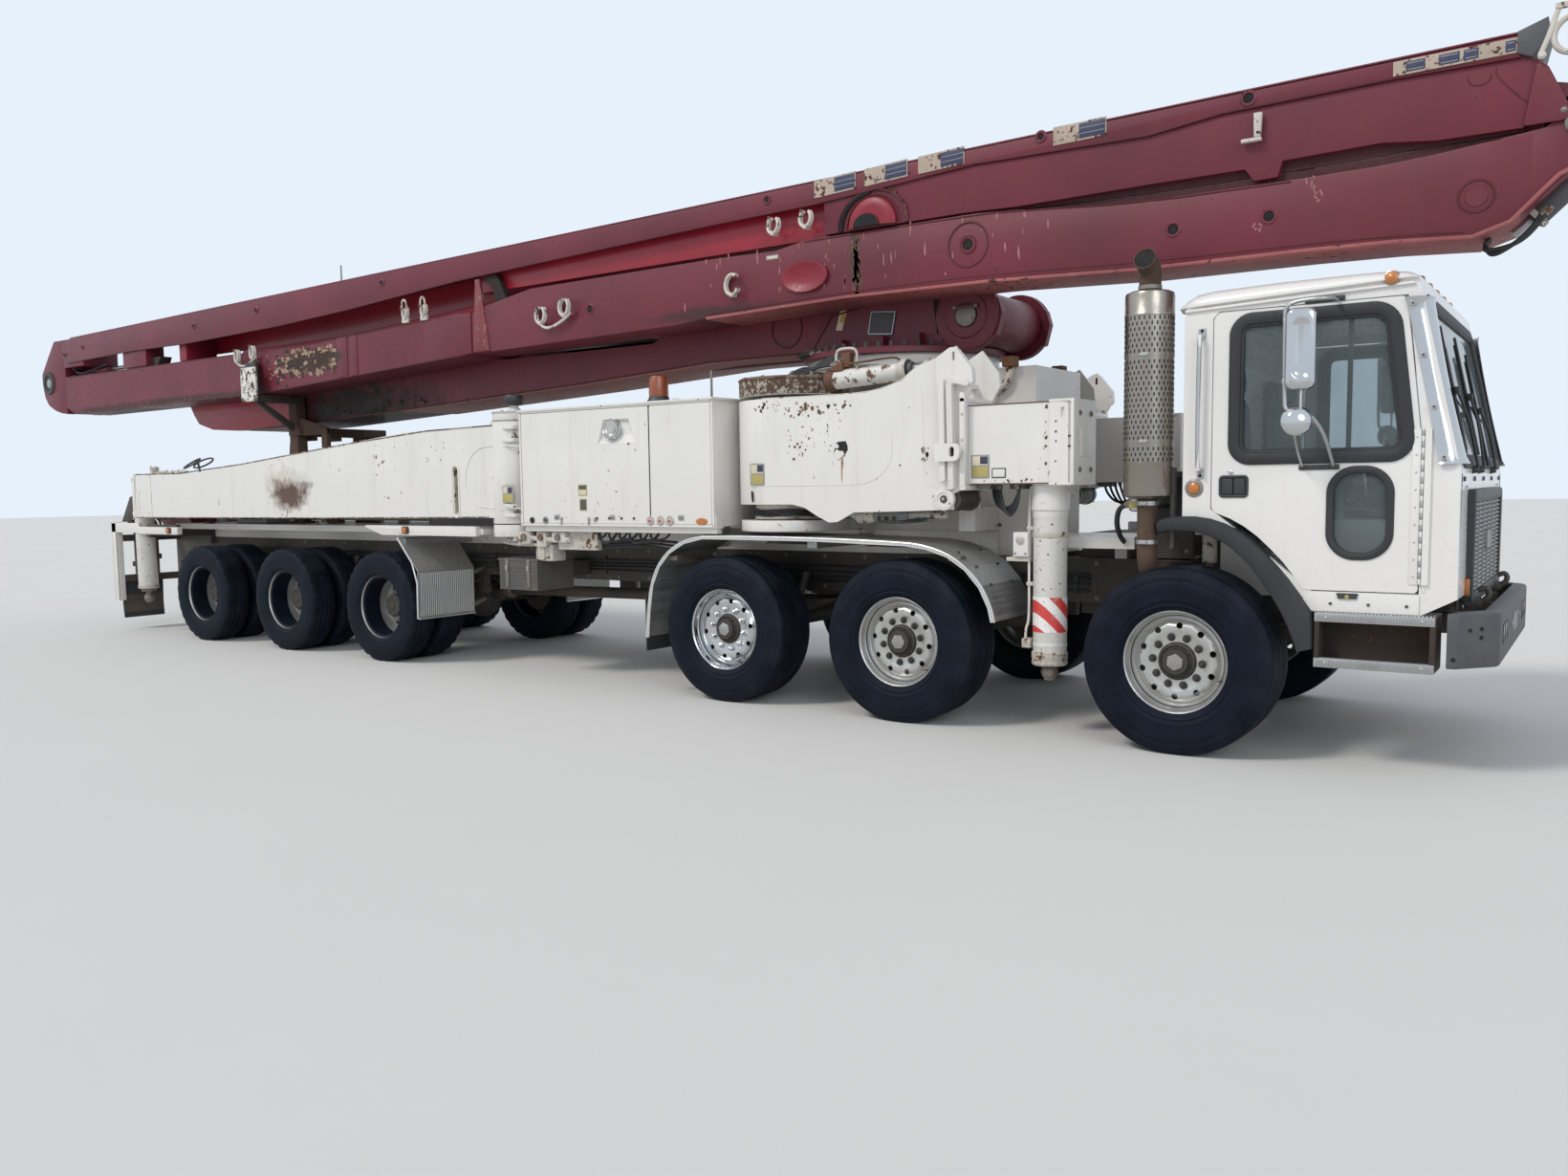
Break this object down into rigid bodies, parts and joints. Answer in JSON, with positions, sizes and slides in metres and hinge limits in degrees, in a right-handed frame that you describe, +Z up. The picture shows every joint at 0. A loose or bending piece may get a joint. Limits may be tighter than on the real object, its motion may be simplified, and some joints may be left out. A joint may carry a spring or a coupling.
{
  "type": "truck-mounted concrete pump",
  "caption": "Truck-mounted concrete pump: cab-over chassis with twin steered axles, folding placing boom on a slewing turret, and swing-out outriggers with jacks",
  "frame": {"origin": "on the ground under the middle of the whole machine, boom included, with the boom folded", "axes": "+X to the front of the truck, +Y to its left (driver's) side, +Z up"},
  "size_m": [16.75, 3.0396, 3.7838],
  "materials": {
    "frame_paint": "satin",
    "engine": "matte",
    "white_paint": "gloss",
    "boom_paint": "gloss",
    "tank": "satin",
    "rusty_steel": "matte",
    "stainless": "brushed",
    "jack_steel": "ground",
    "window": "gloss",
    "interior": "matte",
    "black_plastic": "matte",
    "bumper": "matte",
    "tread_plate": "tread plate",
    "tyre": "matte"
  },
  "bodies": {
    "chassis": {"chassis_frame": "frame_paint", "engine_block": "engine", "axles": "frame_paint", "support_frame": "white_paint", "tool_boxes": "white_paint", "side_tanks": "tank", "hopper": "boom_paint", "pump_unit": "tank", "boom_rest": "rusty_steel", "exhaust_stack": "stainless", "cab_shell": "white_paint", "cab_glass": "window", "cab_interior": "interior", "cab_trim": "black_plastic", "front_bumper": "bumper", "tread_guards": "tread_plate"},
    "cab_door_r": {"door_r": "white_paint", "door_glass_r": "window"},
    "cab_door_l": {"door_l": "white_paint", "door_glass_l": "window"},
    "box_door_rear_r": {"box_door_rear_r": "white_paint"},
    "box_door_front_r": {"box_door_front_r": "white_paint"},
    "box_door_l": {"box_door_l": "white_paint"},
    "hopper_grate": {"hopper_grate": "frame_paint"},
    "turret": {"turret": "boom_paint"},
    "boom_section_1": {"boom_section_1": "boom_paint"},
    "boom_section_2": {"boom_section_2": "boom_paint"},
    "boom_section_3": {"boom_section_3": "boom_paint"},
    "boom_section_4": {"boom_section_4": "boom_paint"},
    "boom_section_5": {"boom_section_5": "boom_paint"},
    "lift_barrel": {"lift_barrel": "boom_paint"},
    "lift_rod": {"lift_rod": "jack_steel"},
    "knuckle_1r": {"knuckle_1r": "frame_paint"},
    "knuckle_2r": {"knuckle_2r": "frame_paint"},
    "wheel_1r": {"wheel_1r": "tyre"},
    "wheel_2r": {"wheel_2r": "tyre"},
    "wheel_3r": {"wheel_3r": "tyre"},
    "wheel_4r": {"wheel_4r": "tyre"},
    "wheel_5r": {"wheel_5r": "tyre"},
    "wheel_6r": {"wheel_6r": "tyre"},
    "front_arm_r": {"front_arm_r": "white_paint"},
    "front_beam_r": {"front_beam_r": "white_paint"},
    "front_jack_r": {"front_jack_r": "jack_steel"},
    "rear_arm_r": {"rear_arm_r": "white_paint"},
    "rear_jack_r": {"rear_jack_r": "jack_steel"},
    "knuckle_1l": {"knuckle_1l": "frame_paint"},
    "knuckle_2l": {"knuckle_2l": "frame_paint"},
    "wheel_1l": {"wheel_1l": "tyre"},
    "wheel_2l": {"wheel_2l": "tyre"},
    "wheel_3l": {"wheel_3l": "tyre"},
    "wheel_4l": {"wheel_4l": "tyre"},
    "wheel_5l": {"wheel_5l": "tyre"},
    "wheel_6l": {"wheel_6l": "tyre"},
    "front_arm_l": {"front_arm_l": "white_paint"},
    "front_beam_l": {"front_beam_l": "white_paint"},
    "front_jack_l": {"front_jack_l": "jack_steel"},
    "rear_arm_l": {"rear_arm_l": "white_paint"},
    "rear_jack_l": {"rear_jack_l": "jack_steel"}
  },
  "joints": [
    {"name": "wheel_1r_spin", "type": "hinge", "parent": "knuckle_1r", "child": "wheel_1r", "pos_m": [6.325, -1.05, 0.54], "axis": [0, 1, 0], "continuous": true},
    {"name": "wheel_1l_spin", "type": "hinge", "parent": "knuckle_1l", "child": "wheel_1l", "pos_m": [6.325, 1.05, 0.54], "axis": [0, 1, 0], "continuous": true},
    {"name": "wheel_2r_spin", "type": "hinge", "parent": "knuckle_2r", "child": "wheel_2r", "pos_m": [4.495, -1.05, 0.54], "axis": [0, 1, 0], "continuous": true},
    {"name": "wheel_2l_spin", "type": "hinge", "parent": "knuckle_2l", "child": "wheel_2l", "pos_m": [4.495, 1.05, 0.54], "axis": [0, 1, 0], "continuous": true},
    {"name": "wheel_3r_spin", "type": "hinge", "parent": "chassis", "child": "wheel_3r", "pos_m": [3.025, -1.05, 0.538], "axis": [0, 1, 0], "continuous": true},
    {"name": "wheel_3l_spin", "type": "hinge", "parent": "chassis", "child": "wheel_3l", "pos_m": [3.025, 1.05, 0.538], "axis": [0, 1, 0], "continuous": true},
    {"name": "wheel_4r_spin", "type": "hinge", "parent": "chassis", "child": "wheel_4r", "pos_m": [-1.055, -0.94, 0.51], "axis": [0, 1, 0], "continuous": true},
    {"name": "wheel_4l_spin", "type": "hinge", "parent": "chassis", "child": "wheel_4l", "pos_m": [-1.055, 0.94, 0.51], "axis": [0, 1, 0], "continuous": true},
    {"name": "wheel_5r_spin", "type": "hinge", "parent": "chassis", "child": "wheel_5r", "pos_m": [-2.605, -0.94, 0.51], "axis": [0, 1, 0], "continuous": true},
    {"name": "wheel_5l_spin", "type": "hinge", "parent": "chassis", "child": "wheel_5l", "pos_m": [-2.605, 0.94, 0.51], "axis": [0, 1, 0], "continuous": true},
    {"name": "wheel_6r_spin", "type": "hinge", "parent": "chassis", "child": "wheel_6r", "pos_m": [-4.155, -0.94, 0.51], "axis": [0, 1, 0], "continuous": true},
    {"name": "wheel_6l_spin", "type": "hinge", "parent": "chassis", "child": "wheel_6l", "pos_m": [-4.155, 0.94, 0.51], "axis": [0, 1, 0], "continuous": true},
    {"name": "steer_1r", "type": "hinge", "parent": "chassis", "child": "knuckle_1r", "pos_m": [6.325, -0.8, 0.54], "axis": [0, 0, 1], "range_deg": [-35, 35]},
    {"name": "steer_1l", "type": "hinge", "parent": "chassis", "child": "knuckle_1l", "pos_m": [6.325, 0.8, 0.54], "axis": [0, 0, 1], "range_deg": [-35, 35]},
    {"name": "steer_2r", "type": "hinge", "parent": "chassis", "child": "knuckle_2r", "pos_m": [4.495, -0.8, 0.54], "axis": [0, 0, 1], "range_deg": [-21, 21]},
    {"name": "steer_2l", "type": "hinge", "parent": "chassis", "child": "knuckle_2l", "pos_m": [4.495, 0.8, 0.54], "axis": [0, 0, 1], "range_deg": [-21, 21]},
    {"name": "cab_door_r_hinge", "type": "hinge", "parent": "chassis", "child": "cab_door_r", "pos_m": [7.56, -1.182, 1.7], "axis": [0, 0, 1], "range_deg": [0, 70]},
    {"name": "cab_door_l_hinge", "type": "hinge", "parent": "chassis", "child": "cab_door_l", "pos_m": [7.56, 1.182, 1.7], "axis": [0, 0, -1], "range_deg": [0, 70]},
    {"name": "box_door_rear_r_hinge", "type": "hinge", "parent": "chassis", "child": "box_door_rear_r", "pos_m": [1.725, -1.27, 2.21], "axis": [1, 0, 0], "range_deg": [-85, 0]},
    {"name": "box_door_front_r_hinge", "type": "hinge", "parent": "chassis", "child": "box_door_front_r", "pos_m": [2.665, -1.27, 2.21], "axis": [1, 0, 0], "range_deg": [-85, 0]},
    {"name": "box_door_l_hinge", "type": "hinge", "parent": "chassis", "child": "box_door_l", "pos_m": [1.975, 1.27, 2.21], "axis": [1, 0, 0], "range_deg": [0, 85]},
    {"name": "hopper_grate_hinge", "type": "hinge", "parent": "chassis", "child": "hopper_grate", "pos_m": [-5.405, 0, 1.764], "axis": [0, 1, 0], "range_deg": [0, 75]},
    {"name": "front_arm_r_swing", "type": "hinge", "parent": "chassis", "child": "front_arm_r", "pos_m": [3.415, -0.83, 1.75], "axis": [0, 0, -1], "range_deg": [0, 60]},
    {"name": "front_beam_r_extend", "type": "slide", "parent": "front_arm_r", "child": "front_beam_r", "axis": [1, 0, 0], "range_m": [0, 0.85]},
    {"name": "front_jack_r_down", "type": "slide", "parent": "front_beam_r", "child": "front_jack_r", "axis": [0, 0, -1], "range_m": [0, 0.7]},
    {"name": "rear_arm_r_swing", "type": "hinge", "parent": "chassis", "child": "rear_arm_r", "pos_m": [0.665, -1.05, 1.75], "axis": [0, 0, 1], "range_deg": [0, 90]},
    {"name": "rear_jack_r_down", "type": "slide", "parent": "rear_arm_r", "child": "rear_jack_r", "axis": [0, 0, -1], "range_m": [0, 0.7]},
    {"name": "front_arm_l_swing", "type": "hinge", "parent": "chassis", "child": "front_arm_l", "pos_m": [3.415, 0.83, 1.75], "axis": [0, 0, 1], "range_deg": [0, 60]},
    {"name": "front_beam_l_extend", "type": "slide", "parent": "front_arm_l", "child": "front_beam_l", "axis": [1, 0, 0], "range_m": [0, 0.85]},
    {"name": "front_jack_l_down", "type": "slide", "parent": "front_beam_l", "child": "front_jack_l", "axis": [0, 0, -1], "range_m": [0, 0.7]},
    {"name": "rear_arm_l_swing", "type": "hinge", "parent": "chassis", "child": "rear_arm_l", "pos_m": [0.665, 1.05, 1.75], "axis": [0, 0, -1], "range_deg": [0, 90]},
    {"name": "rear_jack_l_down", "type": "slide", "parent": "rear_arm_l", "child": "rear_jack_l", "axis": [0, 0, -1], "range_m": [0, 0.7]},
    {"name": "boom_lift", "type": "hinge", "parent": "turret", "child": "boom_section_1", "pos_m": [4.625, 0, 2.75], "axis": [0, 1, 0], "range_deg": [0, 90]},
    {"name": "turret_slew", "type": "hinge", "parent": "chassis", "child": "turret", "pos_m": [3.865, 0, 2.51], "axis": [0, 0, 1], "range_deg": [-185, 185]},
    {"name": "boom_fold_b", "type": "hinge", "parent": "boom_section_1", "child": "boom_section_2", "pos_m": [-5.275, 0, 2.84], "axis": [0, -1, 0], "range_deg": [0, 180]},
    {"name": "boom_fold_c", "type": "hinge", "parent": "boom_section_2", "child": "boom_section_3", "pos_m": [8.175, 0, 3.32], "axis": [0, 1, 0], "range_deg": [0, 180]},
    {"name": "boom_fold_d", "type": "hinge", "parent": "boom_section_3", "child": "boom_section_4", "pos_m": [-8.095, 0, 3.05], "axis": [0, 1, 0], "range_deg": [0, 180]},
    {"name": "boom_fold_e", "type": "hinge", "parent": "boom_section_4", "child": "boom_section_5", "pos_m": [-0.315, 0, 2.97], "axis": [0, 1, 0], "range_deg": [0, 180]},
    {"name": "lift_barrel_tilt", "type": "hinge", "parent": "turret", "child": "lift_barrel", "pos_m": [4.115, 0, 2.68], "axis": [0, 1, 0], "range_deg": [0, 97.7]},
    {"name": "lift_rod_extend", "type": "slide", "parent": "lift_barrel", "child": "lift_rod", "axis": [-0.9999, 0, -0.0103], "range_m": [0, 0.648]}
  ],
  "couplings": [
    {"joint": "steer_1l", "follows": "steer_1r", "ratio": 1},
    {"joint": "steer_2r", "follows": "steer_1r", "ratio": 0.6},
    {"joint": "steer_2l", "follows": "steer_1r", "ratio": 0.6},
    {"joint": "front_beam_r_extend", "follows": "front_arm_r_swing", "m_per_rad": 0.76394},
    {"joint": "front_beam_l_extend", "follows": "front_arm_l_swing", "m_per_rad": 0.76394},
    {"joint": "turret_slew", "follows": "boom_lift", "ratio": -2},
    {"joint": "boom_fold_b", "follows": "boom_lift", "ratio": 2},
    {"joint": "boom_fold_c", "follows": "boom_lift", "ratio": 2},
    {"joint": "boom_fold_d", "follows": "boom_lift", "ratio": 1},
    {"joint": "boom_fold_e", "follows": "boom_lift", "ratio": 1},
    {"joint": "lift_barrel_tilt", "follows": "boom_lift", "ratio": 1.0634},
    {"joint": "lift_rod_extend", "follows": "boom_lift", "m_per_rad": 0.38048}
  ]
}
